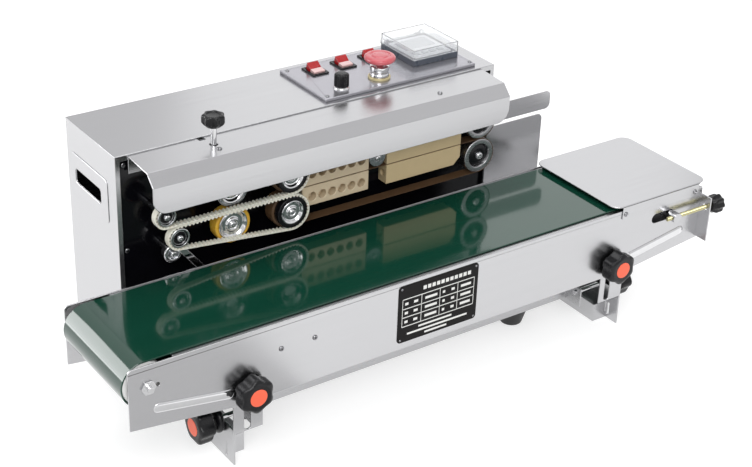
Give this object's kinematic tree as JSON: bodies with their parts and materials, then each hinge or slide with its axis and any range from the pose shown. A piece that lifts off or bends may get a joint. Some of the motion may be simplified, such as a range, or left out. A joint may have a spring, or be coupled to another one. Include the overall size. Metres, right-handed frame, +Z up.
{
  "type": "continuous band sealer",
  "caption": "Bench-top heat-sealing machine: a steel casing with a guarded sealing head over a green belt conveyor on adjustable arms.",
  "frame": {"origin": "on the bench under the middle of the machine's bounding box", "axes": "+X along the conveyor towards the infeed end, +Y from the operator to the back, +Z up"},
  "size_m": [0.8619, 0.349, 0.35],
  "materials": {
    "stainless": "polished stainless sheet",
    "stainless_soft": "satin stainless sheet",
    "bright_steel": "bright plated",
    "black_paint": "satin black powder coat",
    "steel": "ground steel",
    "motor_grey": "hammered grey paint",
    "panel_film": "printed silver film on aluminium",
    "black_plastic": "satin moulded",
    "dark_plastic": "satin moulded",
    "red_plastic": "gloss translucent",
    "stop_red": "gloss moulded",
    "clear": "clear acrylic",
    "bronze": "oiled bronze",
    "heater_gold": "heat-tinted brass",
    "cooler_cream": "cream anodised",
    "ptfe": "woven glass and PTFE",
    "cream_belt": "cream polyurethane",
    "green_belt": "glossy green PVC",
    "rubber_black": "matt black",
    "amber": "amber polyurethane",
    "roller_white": "white",
    "plate_black": "black anodised with fine lines",
    "zinc": "yellow zinc"
  },
  "bodies": {
    "root": {"base_tray": "stainless_soft", "rubber_feet": "rubber_black", "casing": "stainless", "rear_cover": "stainless_soft", "front_panel": "black_paint", "mounting_plate": "steel", "panel_screws": "bright_steel", "guard_cover": "stainless", "control_panel": "panel_film", "control_collars": "black_plastic", "controller_base": "dark_plastic", "main_motor": "motor_grey", "fan_frame": "black_plastic", "power_inlet": "black_plastic", "bearing_bushes": "bronze", "heater_blocks": "heater_gold", "cooler_blocks": "cooler_cream", "seal_bands": "ptfe", "guide_belts": "cream_belt", "infeed_guides": "stainless", "head_brackets": "bright_steel", "wheel_axles": "bright_steel"},
    "lower_drive": {"lower_drive_wheel": "rubber_black", "lower_drive_gear": "steel"},
    "upper_drive": {"upper_drive_wheel": "rubber_black", "upper_drive_gear": "steel"},
    "lower_emboss": {"lower_emboss_wheel": "amber"},
    "upper_emboss": {"upper_emboss_wheel": "bright_steel"},
    "lower_infeed": {"lower_infeed_wheel": "steel"},
    "upper_infeed": {"upper_infeed_wheel": "steel"},
    "lower_guide": {"lower_guide_pulley": "steel"},
    "upper_guide": {"upper_guide_pulley": "steel"},
    "idler": {"idler_ring": "steel"},
    "press": {"press_wheel": "steel"},
    "fan": {"fan_rotor": "black_plastic"},
    "pressure": {"pressure_knob": "black_plastic"},
    "speed": {"speed_knob": "black_plastic"},
    "estop": {"estop_button": "stop_red"},
    "switch_1": {"rocker_1": "red_plastic"},
    "switch_2": {"rocker_2": "red_plastic"},
    "switch_3": {"rocker_3": "red_plastic"},
    "lid": {"controller_lid": "clear"},
    "carriage": {"left_arm": "stainless", "right_arm": "stainless"},
    "left_side_clamp": {"left_side_knob": "black_plastic"},
    "right_side_clamp": {"right_side_knob": "black_plastic"},
    "conveyor": {"front_side_plate": "stainless", "rear_side_plate": "stainless", "slider_bed": "stainless_soft", "roller_axles": "bright_steel", "conveyor_belt": "green_belt", "infeed_tray": "stainless", "nameplate": "plate_black", "conveyor_screws": "bright_steel", "tension_brackets": "zinc"},
    "left_front_clamp": {"left_front_knob": "black_plastic"},
    "right_front_clamp": {"right_front_knob": "black_plastic"},
    "drive_roll": {"drive_roller": "roller_white"},
    "tail_roll": {"tail_roller": "roller_white"},
    "tension": {"tension_knob": "black_plastic"}
  },
  "joints": [
    {"name": "drive_spin", "type": "hinge", "parent": "root", "child": "lower_drive", "pos_m": [-0.127, 0, 0.20635], "axis": [0, 1, 0], "continuous": true},
    {"name": "upper_drive_spin", "type": "hinge", "parent": "root", "child": "upper_drive", "pos_m": [-0.127, 0, 0.25365], "axis": [0, 1, 0], "continuous": true},
    {"name": "lower_emboss_spin", "type": "hinge", "parent": "root", "child": "lower_emboss", "pos_m": [-0.203, 0, 0.20645], "axis": [0, 1, 0], "continuous": true},
    {"name": "upper_emboss_spin", "type": "hinge", "parent": "root", "child": "upper_emboss", "pos_m": [-0.203, 0, 0.25115], "axis": [0, 1, 0], "continuous": true},
    {"name": "lower_infeed_spin", "type": "hinge", "parent": "root", "child": "lower_infeed", "pos_m": [0.162, 0, 0.20635], "axis": [0, 1, 0], "continuous": true},
    {"name": "upper_infeed_spin", "type": "hinge", "parent": "root", "child": "upper_infeed", "pos_m": [0.162, 0, 0.25365], "axis": [0, 1, 0], "continuous": true},
    {"name": "lower_guide_spin", "type": "hinge", "parent": "root", "child": "lower_guide", "pos_m": [-0.278, 0, 0.21425], "axis": [0, 1, 0], "continuous": true},
    {"name": "upper_guide_spin", "type": "hinge", "parent": "root", "child": "upper_guide", "pos_m": [-0.294, 0, 0.24535], "axis": [0, 1, 0], "continuous": true},
    {"name": "idler_spin", "type": "hinge", "parent": "root", "child": "idler", "pos_m": [-0.281, 0, 0.189], "axis": [0, 1, 0], "continuous": true},
    {"name": "press_spin", "type": "hinge", "parent": "root", "child": "press", "pos_m": [0.0016, 0, 0.24285], "axis": [0, 1, 0], "continuous": true},
    {"name": "fan_spin", "type": "hinge", "parent": "root", "child": "fan", "pos_m": [-0.187, 0.15, 0.19], "axis": [0, 1, 0], "continuous": true},
    {"name": "pressure_turn", "type": "hinge", "parent": "root", "child": "pressure", "pos_m": [-0.223, 0.022, 0.33], "axis": [0, 0, 1], "range_deg": [-360, 360]},
    {"name": "speed_turn", "type": "hinge", "parent": "root", "child": "speed", "pos_m": [-0.017, 0.0705, 0.33], "axis": [0, 0, 1], "range_deg": [-270, 0]},
    {"name": "estop_press", "type": "slide", "parent": "root", "child": "estop", "axis": [0, 0, 1], "range_m": [-0.005, 0], "stiffness_N_per_m": 1500},
    {"name": "switch_1_rock", "type": "hinge", "parent": "root", "child": "switch_1", "pos_m": [-0.0164, 0.1305, 0.318], "axis": [1, 0, 0], "range_deg": [-22, 0]},
    {"name": "switch_2_rock", "type": "hinge", "parent": "root", "child": "switch_2", "pos_m": [0.0256, 0.1305, 0.318], "axis": [1, 0, 0], "range_deg": [-22, 0]},
    {"name": "switch_3_rock", "type": "hinge", "parent": "root", "child": "switch_3", "pos_m": [0.0676, 0.1305, 0.318], "axis": [1, 0, 0], "range_deg": [-22, 0]},
    {"name": "lid_open", "type": "hinge", "parent": "root", "child": "lid", "pos_m": [0.133, 0.1545, 0.326], "axis": [-1, 0, 0], "range_deg": [0, 100]},
    {"name": "carriage_slide", "type": "slide", "parent": "root", "child": "carriage", "axis": [0, 1, 0], "range_m": [-0.04, 0]},
    {"name": "left_side_clamp_turn", "type": "hinge", "parent": "root", "child": "left_side_clamp", "pos_m": [-0.262, -0.116, 0.046], "axis": [1, 0, 0], "range_deg": [-360, 360]},
    {"name": "right_side_clamp_turn", "type": "hinge", "parent": "root", "child": "right_side_clamp", "pos_m": [0.234, -0.116, 0.046], "axis": [1, 0, 0], "range_deg": [-360, 360]},
    {"name": "conveyor_lift", "type": "slide", "parent": "carriage", "child": "conveyor", "axis": [0, 0, 1], "range_m": [-0.018, 0.01]},
    {"name": "left_front_clamp_turn", "type": "hinge", "parent": "conveyor", "child": "left_front_clamp", "pos_m": [-0.2814, -0.1515, 0.1], "axis": [0, 1, 0], "range_deg": [-360, 360]},
    {"name": "right_front_clamp_turn", "type": "hinge", "parent": "conveyor", "child": "right_front_clamp", "pos_m": [0.2552, -0.1515, 0.1], "axis": [0, 1, 0], "range_deg": [-360, 360]},
    {"name": "drive_roller_spin", "type": "hinge", "parent": "conveyor", "child": "drive_roll", "pos_m": [-0.403, 0, 0.145], "axis": [0, 1, 0], "continuous": true},
    {"name": "tail_roller_spin", "type": "hinge", "parent": "conveyor", "child": "tail_roll", "pos_m": [0.35, 0, 0.145], "axis": [0, 1, 0], "continuous": true},
    {"name": "tension_turn", "type": "hinge", "parent": "conveyor", "child": "tension", "pos_m": [0.406, -0.161, 0.145], "axis": [1, 0, 0], "range_deg": [-720, 720]}
  ],
  "couplings": [
    {"joint": "upper_drive_spin", "follows": "drive_spin", "ratio": -1},
    {"joint": "lower_emboss_spin", "follows": "drive_spin", "ratio": 1.0043},
    {"joint": "upper_emboss_spin", "follows": "drive_spin", "ratio": -1.119},
    {"joint": "lower_infeed_spin", "follows": "drive_spin", "ratio": 1},
    {"joint": "upper_infeed_spin", "follows": "drive_spin", "ratio": -1},
    {"joint": "lower_guide_spin", "follows": "drive_spin", "ratio": 1.5064},
    {"joint": "upper_guide_spin", "follows": "drive_spin", "ratio": -1.5461},
    {"joint": "press_spin", "follows": "drive_spin", "ratio": -1.9583},
    {"joint": "tail_roller_spin", "follows": "drive_roller_spin", "ratio": 1}
  ]
}
